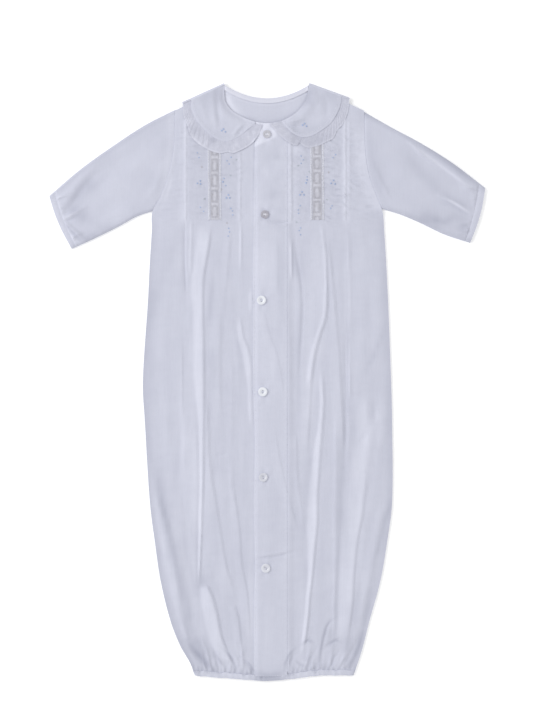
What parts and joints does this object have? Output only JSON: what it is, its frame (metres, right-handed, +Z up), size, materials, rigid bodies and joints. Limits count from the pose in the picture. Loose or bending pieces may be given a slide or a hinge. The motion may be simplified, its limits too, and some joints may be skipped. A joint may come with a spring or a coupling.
{
  "type": "baby daygown, laid flat",
  "caption": "Long baby daygown with set-in sleeves, lace-edged round collar, buttoned front placket, tucks, let-in lace and an elastic hem, laid flat.",
  "frame": {"origin": "centre of the gown's box on the surface that it lies on", "axes": "+Y from the hem to the neck, +Z up out of the surface through the front, +X to the right of someone looking down at the front"},
  "size_m": [0.4354, 0.5972, 0.0083],
  "materials": {
    "cotton_batiste": "fine plain-woven cotton, matt with a faint sheen",
    "cotton_lace": "narrow cotton lace, matt",
    "pearl_button": "satin pearl"
  },
  "bodies": {
    "root": {"back_panel": "cotton_batiste", "front_left": "cotton_batiste", "front_right": "cotton_batiste", "placket_band": "cotton_batiste", "neck_binding": "cotton_batiste", "sleeve_left": "cotton_batiste", "sleeve_right": "cotton_batiste", "cuff_left": "cotton_batiste", "cuff_right": "cotton_batiste", "hem_casing": "cotton_batiste", "collar": "cotton_batiste", "collar_lace": "cotton_lace", "lace_insertion_left": "cotton_lace", "lace_insertion_right": "cotton_lace", "button_1": "pearl_button", "button_2": "pearl_button", "button_3": "pearl_button", "button_4": "pearl_button", "button_5": "pearl_button", "button_6": "pearl_button"}
  },
  "joints": []
}
